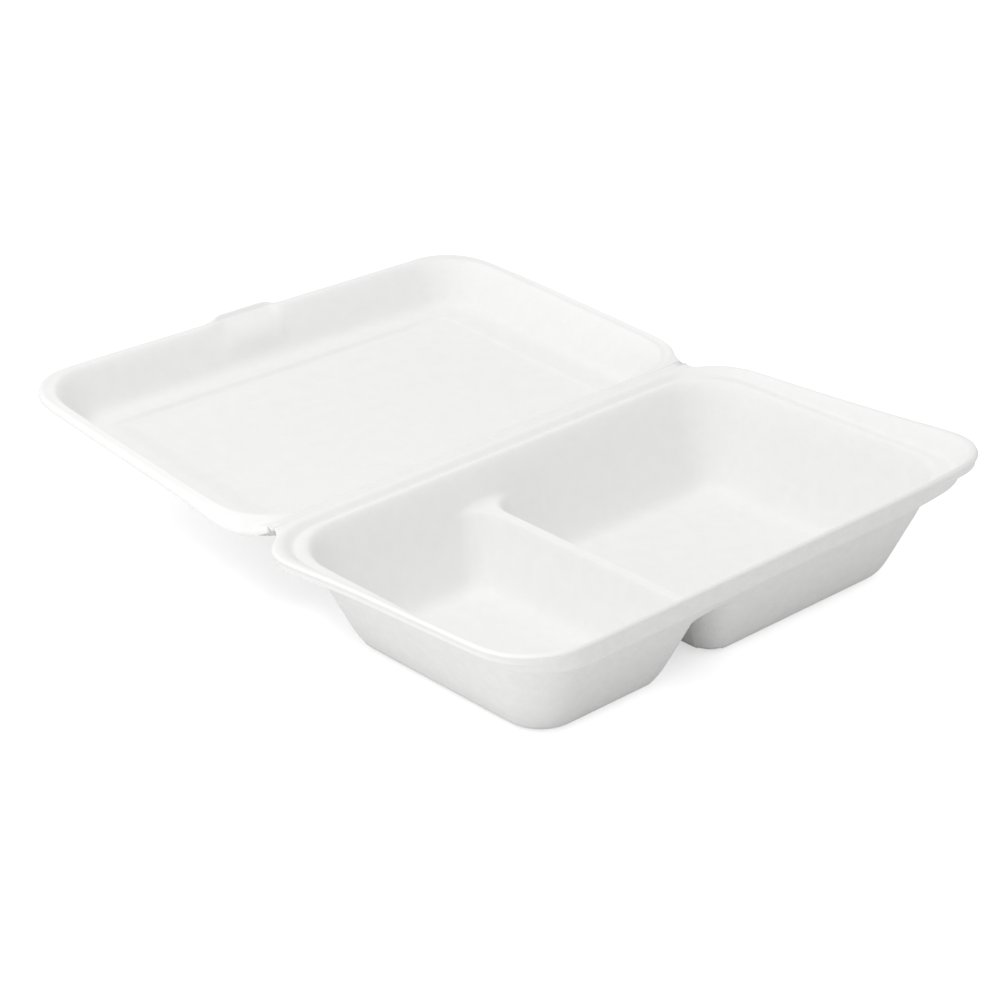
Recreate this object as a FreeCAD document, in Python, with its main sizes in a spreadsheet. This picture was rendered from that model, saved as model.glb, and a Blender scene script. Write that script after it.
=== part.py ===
import FreeCAD, Part
import os
import Sketcher
from FreeCAD import Placement, Rotation, Vector

# Two-compartment clamshell food container, opened flat as it stands on a table.
# Frame: X along the hinge, -Y to the tray's front, +Y to the lid, +Z up, origin
# under the middle of the tray on the plane it stands on. Lengths in mm, angles in deg.

os.makedirs("parts", exist_ok=True)
doc = FreeCAD.newDocument("clamshell")
sheet = doc.addObject("Spreadsheet::Sheet", "Sizes")

sizes = [
    ("tray_length", 248.0, "outer length of the tray's rim, along X"),
    ("tray_width", 155.2, "outer width of the tray's rim, along Y"),
    ("rim_radius", 28.0, "plan radius of the tray's rim"),
    ("sheet", 1.2, "thickness of the moulded sheet"),
    ("across", 1.34, "thickness of a leaning wall measured level"),
    ("floor_inset", 30.0, "rim edge to the foot of the outer wall"),
    ("wall_lean", 0.485, "run of the walls for each unit of height"),
    ("ledge_height", 41.3, "top of the ledge the lid rests on"),
    ("step_inset", 7.8, "rim edge to the ledge's outer edge"),
    ("step_front", 5.2, "the same at the front, where the tab goes in"),
    ("rim_back", 43.1, "top of the rim at the hinge"),
    ("rim_tilt", 2.66, "rise of the rim from the hinge to the front"),
    ("lip_width", 4.0, "width of the rim's top"),
    ("band", 3.6, "height of the rim's turned-down edge"),
    ("hinge_flange", 7.0, "width of the rim's top along the hinge"),
    ("lip_round", 0.9, "rounding of the rim's outer edge"),
    ("crest_height", 28.0, "top of the divider"),
    ("divider_lean", 0.45, "run of the divider's faces for each unit of height"),
    ("small_right", -32.0, "outer foot of the small compartment at the divider"),
    ("large_left", -5.5, "outer foot of the large compartment at the divider"),
    ("foot_radius", 14.0, "plan radius of the compartments at the floor"),
    ("mid_radius", 20.0, "plan radius at the divider's height"),
    ("ledge_radius", 23.5, "plan radius at the ledge"),
    ("foot_round", 5.0, "outer rounding between floor and walls"),
    ("floor_round", 4.0, "inner rounding between floor and walls"),
    ("fold_half", 110.0, "half the length of the fold between tray and lid"),
    ("fold_gap", 0.35, "half the gap left at the fold"),
    ("axis_rise", 0.5, "fold axis above the rim's top"),
    ("lid_tilt", 4.2, "rise of the open lid toward its far edge"),
    ("lid_length", 233.4, "outer length of the lid's rim"),
    ("lid_width", 147.2, "fold to the lid's far edge"),
    ("lid_radius", 27.0, "plan radius of the lid's rim"),
    ("lid_band", 3.8, "height of the lid's turned-down edge"),
    ("lid_lip", 3.2, "width of the lid's rim"),
    ("lid_depth", 16.6, "rim top to the lid's border strip"),
    ("lid_lean", 0.66, "run of the lid's walls for each unit of height"),
    ("lid_foot_radius", 17.0, "plan radius at the foot of the lid's walls"),
    ("panel_side", 29.0, "lid's end edge to its raised panel"),
    ("panel_far", 27.0, "lid's long edge to its raised panel"),
    ("panel_step", 1.8, "height of the raised panel"),
    ("panel_radius", 6.0, "plan radius of the raised panel"),
    ("tab_middle", -2.2, "middle of the tab along X"),
    ("tab_half", 15.0, "half the length of the tab at its root"),
    ("tab_end", 11.0, "half the length of the tab at its edge"),
    ("tab_reach", 2.6, "reach of the tab past the lid's rim"),
    ("tab_depth", 5.0, "height of the tab"),
    ("tab_shelf", 3.2, "depth of the pocket behind the tab"),
]
for row, (name, value, note) in enumerate(sizes, start=1):
    sheet.set(f"A{row}", name)
    sheet.set(f"B{row}", str(value))
    sheet.set(f"C{row}", note)
    sheet.setAlias(f"B{row}", name)
doc.recompute()

# Words used in the expressions below
half_x = "Sizes.tray_length / 2"
half_y = "Sizes.tray_width / 2"
under_crest = "(Sizes.crest_height - Sizes.sheet)"
under_ledge = "(Sizes.ledge_height - Sizes.sheet)"


def outer_inset(height):
    return f"(Sizes.floor_inset - Sizes.wall_lean * {height})"


def inner_inset(height):
    return f"({outer_inset(height)} + Sizes.across)"


def number(expression):
    value = sheet.evalExpression(expression)
    return float(getattr(value, "Value", value))


def place(sketch, base, tilt):
    sketch.Placement = Placement(
        Vector(*[number(b) for b in base]), Rotation(Vector(1, 0, 0), number(tilt))
    )
    for axis, expression in zip("xyz", base):
        if expression != "0":
            sketch.setExpression(f"Placement.Base.{axis}", expression)
    if tilt != "0":
        sketch.setExpression("Placement.Rotation.Angle", tilt)


# A rounded rectangle: lines 0 to 3 run right, up, left and down, arcs 4 to 7 join them
def outline(body, label, x0, x1, y0, y1, radius, base, tilt="0"):
    sketch = body.newObject("Sketcher::SketchObject", label)
    sketch.Label = label
    a, b, c, d, r = [number(e) for e in (x0, x1, y0, y1, radius)]
    ends = [
        ((a + r, c), (b - r, c)),
        ((b, c + r), (b, d - r)),
        ((b - r, d), (a + r, d)),
        ((a, d - r), (a, c + r)),
    ]
    for p, q in ends:
        sketch.addGeometry(Part.LineSegment(Vector(*p, 0), Vector(*q, 0)))
    turn = 1.5707963267948966
    centres = [(b - r, c + r, 3), (b - r, d - r, 0), (a + r, d - r, 1), (a + r, c + r, 2)]
    for cx, cy, quarter in centres:
        circle = Part.Circle(Vector(cx, cy, 0), Vector(0, 0, 1), r)
        sketch.addGeometry(Part.ArcOfCircle(circle, quarter * turn, (quarter + 1) * turn))
    for line in range(4):
        sketch.addConstraint(Sketcher.Constraint("Tangent", line, 2, 4 + line, 1))
        sketch.addConstraint(Sketcher.Constraint("Tangent", 4 + line, 2, (line + 1) % 4, 1))
    for line, kind in enumerate(("Horizontal", "Vertical", "Horizontal", "Vertical")):
        sketch.addConstraint(Sketcher.Constraint(kind, line))
    for arc in (5, 6, 7):
        sketch.addConstraint(Sketcher.Constraint("Equal", 4, arc))
    named = [
        ("radius", "Radius", (4,), r, radius),
        ("front", "DistanceY", (-1, 1, 0, 1), c, y0),
        ("right", "DistanceX", (-1, 1, 1, 1), b, x1),
        ("back", "DistanceY", (-1, 1, 2, 1), d, y1),
        ("left", "DistanceX", (-1, 1, 3, 1), a, x0),
    ]
    for name, kind, where, value, expression in named:
        index = sketch.addConstraint(Sketcher.Constraint(kind, *where, value))
        sketch.renameConstraint(index, name)
        sketch.setExpression(f"Constraints.{name}", expression)
    place(sketch, base, tilt)
    return sketch


# A four-sided polygon with corners given as pairs of expressions
def polygon(body, label, corners, base, tilt="0"):
    sketch = body.newObject("Sketcher::SketchObject", label)
    sketch.Label = label
    points = [Vector(number(x), number(y), 0) for x, y in corners]
    count = len(points)
    for i in range(count):
        sketch.addGeometry(Part.LineSegment(points[i], points[(i + 1) % count]))
    for i in range(count):
        sketch.addConstraint(Sketcher.Constraint("Coincident", i, 2, (i + 1) % count, 1))
    for i, (x, y) in enumerate(corners):
        for axis, expression, value in (("x", x, points[i].x), ("y", y, points[i].y)):
            kind = "DistanceX" if axis == "x" else "DistanceY"
            index = sketch.addConstraint(Sketcher.Constraint(kind, -1, 1, i, 1, value))
            sketch.renameConstraint(index, f"{axis}{i}")
            sketch.setExpression(f"Constraints.{axis}{i}", expression)
    place(sketch, base, tilt)
    return sketch


def loft(body, label, kind, lower, upper):
    feature = body.newObject(f"PartDesign::{kind}Loft", label)
    feature.Label = label
    feature.Profile = (lower, [""])
    feature.Sections = [(upper, [""])]
    feature.Ruled = True
    feature.Refine = False
    doc.recompute()
    return feature


def prism(body, label, kind, sketch, length):
    feature = body.newObject(f"PartDesign::{kind}", label)
    feature.Label = label
    feature.Profile = (sketch, [""])
    feature.Length = number(length)
    feature.setExpression("Length", length)
    feature.Reversed = kind == "Pad"
    feature.Refine = False
    doc.recompute()
    return feature


def rounding(body, label, source, radius, wanted):
    names = []
    for i, edge in enumerate(source.Shape.Edges, start=1):
        if wanted(edge):
            names.append(f"Edge{i}")
    feature = body.newObject("PartDesign::Fillet", label)
    feature.Label = label
    feature.Base = (source, names)
    feature.Radius = number(radius)
    feature.setExpression("Radius", radius)
    doc.recompute()
    return feature


# Tray: one moulded sheet with two compartments
tray = doc.addObject("PartDesign::Body", "tray")
tray.Label = "tray"

slope = "-Sizes.rim_tilt"
run = "Sizes.tray_width / cos(Sizes.rim_tilt * 1deg)"


def rim_section(label, side, back, radius, drop):
    return outline(
        tray, label,
        f"-({half_x}) + ({side})", f"{half_x} - ({side})", f"-({run}) + ({side})", f"-({back})",
        radius, ("0", half_y, f"Sizes.rim_back + {drop}"), slope,
    )


def level_section(label, x0, x1, inset, radius, height, front=None):
    return outline(
        tray, label, x0, x1, f"-({half_y}) + ({front or inset})", f"{half_y} - ({inset})",
        radius, ("0", "0", height),
    )


def full_section(label, inset, radius, height, front=None):
    return level_section(
        label, f"-({half_x}) + ({inset})", f"{half_x} - ({inset})", inset, radius, height, front
    )


# Rim with its turned-down edge
rim_line = rim_section("tray_rim_line", "0", "Sizes.fold_gap", "Sizes.rim_radius", "0")
rim_block = prism(tray, "tray_rim_block", "Pad", rim_line, "Sizes.band")
top = number("Sizes.rim_back")
rise = number("tan(Sizes.rim_tilt * 1deg)")
rim_round = rounding(
    tray, "tray_rim_round", rim_block, "Sizes.lip_round",
    lambda e: e.BoundBox.ZMax > top - 0.4
    and abs((e.CenterOfMass.z - top) - (number(half_y) - e.CenterOfMass.y) * rise) < 0.3,
)
channel_line = rim_section(
    "tray_channel_line", "Sizes.sheet", "Sizes.sheet",
    "Sizes.rim_radius - Sizes.sheet", "-Sizes.sheet",
)
prism(tray, "tray_channel", "Pocket", channel_line, "Sizes.band")

# Hinge side has no turned-down edge, only the flat flange that leads to the fold
flange_cut = polygon(
    tray, "tray_flange_line",
    [
        ("-(Sizes.fold_half)", "-3 * Sizes.sheet"),
        ("Sizes.fold_half", "-3 * Sizes.sheet"),
        ("Sizes.fold_half", "Sizes.sheet"),
        ("-(Sizes.fold_half)", "Sizes.sheet"),
    ],
    ("0", half_y, "Sizes.rim_back - Sizes.sheet"), slope,
)
prism(tray, "tray_flange_cut", "Pocket", flange_cut, "Sizes.band")

web_line = polygon(
    tray, "tray_web_line",
    [
        ("-(Sizes.fold_half)", "-10 * Sizes.sheet"),
        ("Sizes.fold_half", "-10 * Sizes.sheet"),
        ("Sizes.fold_half", "-(Sizes.fold_gap)"),
        ("-(Sizes.fold_half)", "-(Sizes.fold_gap)"),
    ],
    ("0", half_y, "Sizes.rim_back"), slope,
)
prism(tray, "tray_web", "Pad", web_line, "Sizes.sheet")

# Step between rim and ledge, then the walls down to the divider's height
step_low = full_section(
    "tray_step_low", "Sizes.step_inset - Sizes.across",
    "Sizes.rim_radius - 0.75 * Sizes.lip_width", under_ledge, "Sizes.step_front - Sizes.sheet",
)
step_high = rim_section(
    "tray_step_high", "(Sizes.lip_width - Sizes.sheet)", "Sizes.hinge_flange - Sizes.sheet",
    "Sizes.rim_radius - 0.25 * Sizes.lip_width", "-Sizes.sheet / 2",
)
loft(tray, "tray_step", "Additive", step_low, step_high)
wall_low = full_section(
    "tray_wall_low", outer_inset(under_crest), "Sizes.mid_radius", under_crest
)
wall_high = full_section(
    "tray_wall_high", outer_inset(under_ledge), "Sizes.ledge_radius", under_ledge
)
loft(tray, "tray_wall", "Additive", wall_low, wall_high)

# Two tubs under the divider's height
small_low = level_section(
    "tray_small_low", f"-({half_x}) + Sizes.floor_inset", "Sizes.small_right",
    "Sizes.floor_inset", "Sizes.foot_radius", "0",
)
small_high = level_section(
    "tray_small_high", f"-({half_x}) + {outer_inset(under_crest)}",
    f"Sizes.small_right + Sizes.divider_lean * {under_crest}",
    outer_inset(under_crest), "Sizes.mid_radius", under_crest,
)
loft(tray, "tray_small_tub", "Additive", small_low, small_high)
large_low = level_section(
    "tray_large_low", "Sizes.large_left", f"{half_x} - Sizes.floor_inset",
    "Sizes.floor_inset", "Sizes.foot_radius", "0",
)
large_high = level_section(
    "tray_large_high", f"Sizes.large_left - Sizes.divider_lean * {under_crest}",
    f"{half_x} - {outer_inset(under_crest)}",
    outer_inset(under_crest), "Sizes.mid_radius", under_crest,
)
tubs = loft(tray, "tray_large_tub", "Additive", large_low, large_high)
rounding(
    tray, "tray_foot_round", tubs, "Sizes.foot_round",
    lambda e: e.BoundBox.ZMax < 0.01,
)

# Hollows, from the top down
ledge_line = full_section(
    "tray_ledge_line", "Sizes.step_inset", "Sizes.rim_radius - Sizes.lip_width",
    "Sizes.ledge_height", "Sizes.step_front",
)
mouth_line = rim_section(
    "tray_mouth_line", "0.9 * Sizes.lip_width", "0.96 * Sizes.hinge_flange",
    "Sizes.rim_radius - 0.5 * Sizes.lip_width", "1",
)
loft(tray, "tray_mouth", "Subtractive", ledge_line, mouth_line)
hall_low = full_section(
    "tray_hall_low", inner_inset("Sizes.crest_height"),
    "Sizes.mid_radius - Sizes.sheet", "Sizes.crest_height",
)
hall_high = full_section(
    "tray_hall_high", inner_inset("Sizes.ledge_height"),
    "Sizes.ledge_radius - Sizes.sheet", "Sizes.ledge_height",
)
loft(tray, "tray_hall", "Subtractive", hall_low, hall_high)
small_floor = level_section(
    "tray_small_floor", f"-({half_x}) + {inner_inset('Sizes.sheet')}",
    "Sizes.small_right + Sizes.divider_lean * Sizes.sheet - Sizes.across",
    inner_inset("Sizes.sheet"), "Sizes.foot_radius - Sizes.sheet", "Sizes.sheet",
)
small_mouth = level_section(
    "tray_small_mouth", f"-({half_x}) + {inner_inset('Sizes.crest_height')}",
    "Sizes.small_right + Sizes.divider_lean * Sizes.crest_height - Sizes.across",
    inner_inset("Sizes.crest_height"), "Sizes.mid_radius - Sizes.sheet", "Sizes.crest_height",
)
loft(tray, "tray_small_hollow", "Subtractive", small_floor, small_mouth)
large_floor = level_section(
    "tray_large_floor", "Sizes.large_left - Sizes.divider_lean * Sizes.sheet + Sizes.across",
    f"{half_x} - {inner_inset('Sizes.sheet')}",
    inner_inset("Sizes.sheet"), "Sizes.foot_radius - Sizes.sheet", "Sizes.sheet",
)
large_mouth = level_section(
    "tray_large_mouth", "Sizes.large_left - Sizes.divider_lean * Sizes.crest_height + Sizes.across",
    f"{half_x} - {inner_inset('Sizes.crest_height')}",
    inner_inset("Sizes.crest_height"), "Sizes.mid_radius - Sizes.sheet", "Sizes.crest_height",
)
hollow = loft(tray, "tray_large_hollow", "Subtractive", large_floor, large_mouth)
floor = number("Sizes.sheet")
rounding(
    tray, "tray_floor_round", hollow, "Sizes.floor_round",
    lambda e: abs(e.BoundBox.ZMax - floor) < 0.01 and abs(e.BoundBox.ZMin - floor) < 0.01,
)

# Lid: drawn in its own frame, fold along X at the origin, and then laid open
lid = doc.addObject("PartDesign::Body", "lid")
lid.Label = "lid"
lid.Placement = Placement(Vector(0, 0, 0), Rotation(Vector(1, 0, 0), number("Sizes.lid_tilt")))
lid.setExpression("Placement.Base.y", half_y)
lid.setExpression("Placement.Base.z", "Sizes.rim_back + Sizes.axis_rise")
lid.setExpression("Placement.Rotation.Angle", "Sizes.lid_tilt")
lid_top = "(-Sizes.axis_rise)"


def lid_section(label, side, near, far, radius, height):
    return outline(
        lid, label,
        f"-Sizes.lid_length / 2 + ({side})", f"Sizes.lid_length / 2 - ({side})",
        near, f"Sizes.lid_width - ({far})", radius, ("0", "0", height),
    )


def lid_inset(depth):
    return f"(Sizes.lid_lip + Sizes.lid_lean * {depth})"


lid_line = lid_section("lid_rim_line", "0", "Sizes.fold_gap", "0", "Sizes.lid_radius", lid_top)
lid_block = prism(lid, "lid_rim_block", "Pad", lid_line, "Sizes.lid_band")
rounding(
    lid, "lid_rim_round", lid_block, "Sizes.lip_round",
    lambda e: abs(e.BoundBox.ZMin - number(lid_top)) < 0.01,
)
lid_channel = lid_section(
    "lid_channel_line", "Sizes.sheet", "Sizes.sheet", "Sizes.sheet",
    "Sizes.lid_radius - Sizes.sheet", f"{lid_top} - Sizes.sheet",
)
prism(lid, "lid_channel", "Pocket", lid_channel, "Sizes.lid_band")
lid_flange = polygon(
    lid, "lid_flange_line",
    [
        ("-(Sizes.fold_half)", "-Sizes.sheet"),
        ("Sizes.fold_half", "-Sizes.sheet"),
        ("Sizes.fold_half", "3 * Sizes.sheet"),
        ("-(Sizes.fold_half)", "3 * Sizes.sheet"),
    ],
    ("0", "0", f"{lid_top} - Sizes.sheet"),
)
prism(lid, "lid_flange_cut", "Pocket", lid_flange, "Sizes.lid_band")

lid_web = polygon(
    lid, "lid_web_line",
    [
        ("-(Sizes.fold_half)", "Sizes.fold_gap"),
        ("Sizes.fold_half", "Sizes.fold_gap"),
        ("Sizes.fold_half", "10 * Sizes.sheet"),
        ("-(Sizes.fold_half)", "10 * Sizes.sheet"),
    ],
    ("0", "0", lid_top),
)
prism(lid, "lid_web", "Pad", lid_web, "Sizes.sheet")

# Walls, border strip and raised panel
deep = "(Sizes.lid_depth + Sizes.sheet)"
lid_low = lid_section(
    "lid_wall_low", f"{lid_inset(deep)} - Sizes.across", f"{lid_inset(deep)} - Sizes.across",
    f"({lid_inset(deep)} - Sizes.across)", "Sizes.lid_foot_radius", f"{lid_top} - {deep}",
)
lid_high = lid_section(
    "lid_wall_high", f"{lid_inset('Sizes.sheet / 2')} - Sizes.across",
    f"{lid_inset('Sizes.sheet / 2')} - Sizes.across",
    f"({lid_inset('Sizes.sheet / 2')} - Sizes.across)",
    "Sizes.lid_radius - 0.6 * Sizes.lid_lip", f"{lid_top} - Sizes.sheet / 2",
)
lid_wall = loft(lid, "lid_wall", "Additive", lid_low, lid_high)
bottom = number(f"{lid_top} - {deep}")
rounding(
    lid, "lid_wall_round", lid_wall, "Sizes.foot_round",
    lambda e: abs(e.BoundBox.ZMax - bottom) < 0.01,
)
panel_out = lid_section(
    "lid_panel_out_line", "Sizes.panel_side - Sizes.sheet", "Sizes.panel_far - Sizes.sheet",
    "(Sizes.panel_far - Sizes.sheet)", "Sizes.panel_radius + Sizes.sheet",
    f"{lid_top} - Sizes.lid_depth - Sizes.sheet / 2",
)
prism(lid, "lid_panel_out", "Pad", panel_out, "Sizes.panel_step + Sizes.sheet / 2")
lid_strip = lid_section(
    "lid_strip_line", lid_inset("Sizes.lid_depth"), lid_inset("Sizes.lid_depth"),
    lid_inset("Sizes.lid_depth"), "Sizes.lid_foot_radius - Sizes.sheet",
    f"{lid_top} - Sizes.lid_depth",
)
lid_mouth = lid_section(
    "lid_mouth_line", lid_inset("-1"), lid_inset("-1"), lid_inset("-1"),
    "Sizes.lid_radius - 0.8 * Sizes.lid_lip", f"{lid_top} + 1",
)
lid_hollow = loft(lid, "lid_hollow", "Subtractive", lid_strip, lid_mouth)
strip = number(f"{lid_top} - Sizes.lid_depth")
rounding(
    lid, "lid_strip_round", lid_hollow, "Sizes.floor_round",
    lambda e: abs(e.BoundBox.ZMax - strip) < 0.01 and abs(e.BoundBox.ZMin - strip) < 0.01,
)
panel_in = lid_section(
    "lid_panel_in_line", "Sizes.panel_side", "Sizes.panel_far", "Sizes.panel_far",
    "Sizes.panel_radius", f"{lid_top} - Sizes.lid_depth",
)
prism(lid, "lid_panel_in", "Pocket", panel_in, "Sizes.panel_step")

# Tab on the far edge, with the pocket behind it
tab = "Sizes.tab_middle"
tab_line = polygon(
    lid, "lid_tab_line",
    [
        (f"{tab} - Sizes.tab_half", "Sizes.lid_width - 2"),
        (f"{tab} + Sizes.tab_half", "Sizes.lid_width - 2"),
        (f"{tab} + Sizes.tab_end", "Sizes.lid_width + Sizes.tab_reach"),
        (f"{tab} - Sizes.tab_end", "Sizes.lid_width + Sizes.tab_reach"),
    ],
    ("0", "0", lid_top),
)
prism(lid, "lid_tab", "Pad", tab_line, "Sizes.tab_depth")
pocket_line = polygon(
    lid, "lid_pocket_line",
    [
        (f"{tab} - Sizes.tab_end - 2", "Sizes.lid_width - 7"),
        (f"{tab} + Sizes.tab_end + 2", "Sizes.lid_width - 7"),
        (f"{tab} + Sizes.tab_end - Sizes.sheet", "Sizes.lid_width + Sizes.tab_reach - Sizes.sheet"),
        (f"{tab} - Sizes.tab_end + Sizes.sheet", "Sizes.lid_width + Sizes.tab_reach - Sizes.sheet"),
    ],
    ("0", "0", lid_top),
)
prism(lid, "lid_pocket", "Pocket", pocket_line, "Sizes.tab_shelf")

doc.recompute()
for item in doc.Objects:
    if "Invalid" in item.State or "Error" in item.State:
        raise RuntimeError(f"{item.Label}: {item.State}")
for body in (tray, lid):
    shape = body.Shape
    if shape.isNull() or not shape.isValid():
        raise RuntimeError(f"{body.Label}: shape is null or not valid")
    print(body.Label, "solids", len(shape.Solids), "volume", round(shape.Volume), shape.BoundBox)
    shape.exportStep(f"parts/{body.Label}.step")
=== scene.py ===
import math

import bmesh
import bpy
from mathutils import Matrix, Vector
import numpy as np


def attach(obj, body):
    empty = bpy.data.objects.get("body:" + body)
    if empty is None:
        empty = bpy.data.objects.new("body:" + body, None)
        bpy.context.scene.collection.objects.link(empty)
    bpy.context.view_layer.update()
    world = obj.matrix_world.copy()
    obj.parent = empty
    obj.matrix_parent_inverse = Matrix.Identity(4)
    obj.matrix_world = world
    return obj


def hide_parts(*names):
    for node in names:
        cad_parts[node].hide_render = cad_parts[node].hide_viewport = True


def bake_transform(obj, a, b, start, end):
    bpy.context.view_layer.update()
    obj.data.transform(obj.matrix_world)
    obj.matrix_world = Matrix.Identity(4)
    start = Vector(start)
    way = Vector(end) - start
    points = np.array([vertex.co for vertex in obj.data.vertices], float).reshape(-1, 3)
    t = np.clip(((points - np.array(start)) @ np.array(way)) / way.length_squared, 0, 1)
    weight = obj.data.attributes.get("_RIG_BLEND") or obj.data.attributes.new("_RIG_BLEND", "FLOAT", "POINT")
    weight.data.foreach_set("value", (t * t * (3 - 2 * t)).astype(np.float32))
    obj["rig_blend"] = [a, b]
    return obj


# Two-compartment moulded-pulp clamshell lying open: tray, lid and the fold between them.
# Shapes are worked out in millimetres and written to the meshes in metres.

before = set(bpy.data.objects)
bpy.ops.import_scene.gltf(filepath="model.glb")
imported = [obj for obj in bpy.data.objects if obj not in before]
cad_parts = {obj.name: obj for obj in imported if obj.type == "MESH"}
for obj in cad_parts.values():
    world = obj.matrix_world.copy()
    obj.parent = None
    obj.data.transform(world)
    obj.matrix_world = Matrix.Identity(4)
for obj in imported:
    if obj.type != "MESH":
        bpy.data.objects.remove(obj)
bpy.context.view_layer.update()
print("frame loaded")

fold = {
    "y": 77.6,        # fold line behind the tray's middle
    "z": 43.6,        # axis the lid turns about
    "rise": 0.5,      # axis above the rim's top
    "halfWeb": 1.5,   # half the width of the strip between tray and lid
    "endX": 109.2,    # where the strip stops at either corner
    "groove": 0.45,   # depth of the crease along its middle
    "sheet": 1.2,     # thickness of the moulded sheet
}
mm = 1000             # millimetres to the metre
same = 0.01           # places nearer than this, in millimetres, are one place
weldGap = 2e-6        # and in metres, when faces are welded
arcSteps = 8          # faces round a corner
evenTurns = [90 * i / arcSteps for i in range(arcSteps + 1)]
cornerTurns = [0, 15, 28, 33.5, 45, 57, 67, 78, 90]   # stations round the rim's corners, closer by the fold
bandSteps = 5         # points down the turned-down edge


# Shells are cages of four-sided faces, rounded later by subdivision

# A closed loop of stations round a rounded rectangle: front side first, then anticlockwise.
# One radius, or four: front right, back right, back left, front left
def roundedLoop(x0, x1, y0, y1, radius, alongX, alongY, turns=evenTurns, height=0.0):
    r = radius if isinstance(radius, tuple) else (radius,) * 4
    corners = [
        (x1 - r[0], y0 + r[0], -90),
        (x1 - r[1], y1 - r[1], 0),
        (x0 + r[2], y1 - r[2], 90),
        (x0 + r[3], y0 + r[3], 180),
    ]
    sides = [
        [(x1, y0 + r[0] + v * (y1 - y0 - r[0] - r[1])) for v in alongY],
        [(x0 + r[2] + u * (x1 - x0 - r[2] - r[1]), y1) for u in reversed(alongX)],
        [(x0, y0 + r[3] + v * (y1 - y0 - r[3] - r[2])) for v in reversed(alongY)],
        [],
    ]
    points = [(x0 + r[3] + u * (x1 - x0 - r[3] - r[0]), y0) for u in alongX]
    for corner, (cx, cy, start) in enumerate(corners):
        steps = turns if corner in (1, 3) else [90 - t for t in reversed(turns)]
        for t in steps:
            a = math.radians(start + t)
            points.append((cx + r[corner] * math.cos(a), cy + r[corner] * math.sin(a)))
        points.extend(sides[corner])
    if callable(height):
        return [Vector((x, y, height(x, y))) for x, y in points]
    return [Vector((x, y, height)) for x, y in points]


# 0 to 1 between two values, with a soft start and end
def ease(value, low, high):
    t = max(0.0, min(1.0, (value - low) / (high - low)))
    return t * t * (3 - 2 * t)


# Faces between an outer loop and the next one in
def addBand(faces, outer, inner):
    count = len(outer)
    for i in range(count):
        j = (i + 1) % count
        faces.append((outer[i], outer[j], inner[j], inner[i]))


# Flat fill of a loop by a grid whose corners lie half-way round the loop's arcs
def addFloor(faces, loop, countX, countY):
    start = len(loop) - 1 - arcSteps // 2
    ring = loop[start:] + loop[:start]
    nx, ny = countX + arcSteps, countY + arcSteps
    front = ring[0:nx + 1]
    right = ring[nx:nx + ny + 1]
    back = list(reversed(ring[nx + ny:2 * nx + ny + 1]))
    left = list(reversed(ring[2 * nx + ny:] + ring[:1]))
    grid = []
    for j in range(ny + 1):
        v = j / ny
        row = []
        for i in range(nx + 1):
            u = i / nx
            point = (front[i] * (1 - v) + back[i] * v + left[j] * (1 - u) + right[j] * u
                     - front[0] * (1 - u) * (1 - v) - front[nx] * u * (1 - v)
                     - back[0] * (1 - u) * v - back[nx] * u * v)
            row.append(point)
        grid.append(row)
    for j in range(ny):
        for i in range(nx):
            faces.append((grid[j][i], grid[j][i + 1], grid[j + 1][i + 1], grid[j + 1][i]))


def addObject(name, data):
    thing = bpy.data.objects.new(name, data)
    bpy.context.collection.objects.link(thing)
    return thing


# Places of the outer loop that carry the turned-down band: all but those inside the strip's ends
def rimLine(loop):
    onFold = [p.y for p in loop if abs(abs(p.x) - fold["endX"]) < same][0]
    return {(round(p.x, 2), round(p.y, 2)) for p in loop
            if abs(p.y - onFold) > same or abs(p.x) > fold["endX"] - same}


# Welds the faces into one mesh object, marks the rim's edge, which lies above lowest, and keeps
# the cage sharp where the edge along the fold meets the strip's ends
def makeCage(name, faces, rim, lowest, edge):
    outline = rimLine(rim)

    def onRim(p):
        return (round(p.x, 2), round(p.y, 2)) in outline and p.z > lowest

    def isSharp(p):
        return abs(p.y - edge) < same and abs(abs(p.x) - fold["endX"]) < same

    bm = bmesh.new()
    for corners in faces:
        bm.faces.new([bm.verts.new(c / mm) for c in corners])
    bmesh.ops.remove_doubles(bm, verts=bm.verts, dist=weldGap)
    mesh = bpy.data.meshes.new(name)
    bm.to_mesh(mesh)
    bm.free()
    for label, wanted in (("rimEdge", onRim), ("crease_vert", isSharp)):
        marks = mesh.attributes.new(label, "FLOAT", "POINT")
        marks.data.foreach_set("value", [1.0 if wanted(v.co * mm) else 0.0 for v in mesh.vertices])
    return addObject(name, mesh)


# Node trees: small helpers, then the two finishes of the pulp

def link(tree, a, b):
    tree.links.new(a, b)


def addMath(tree, operation, first=None, second=None):
    node = tree.nodes.new("ShaderNodeMath")
    node.operation = operation
    for socket, value in zip(node.inputs, (first, second)):
        if value is not None:
            socket.default_value = value
    return node


def addSocket(tree, name, kind, value=None, way="INPUT"):
    socket = tree.interface.new_socket(name, in_out=way, socket_type="NodeSocket" + kind)
    if value is not None:
        socket.default_value = value


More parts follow.
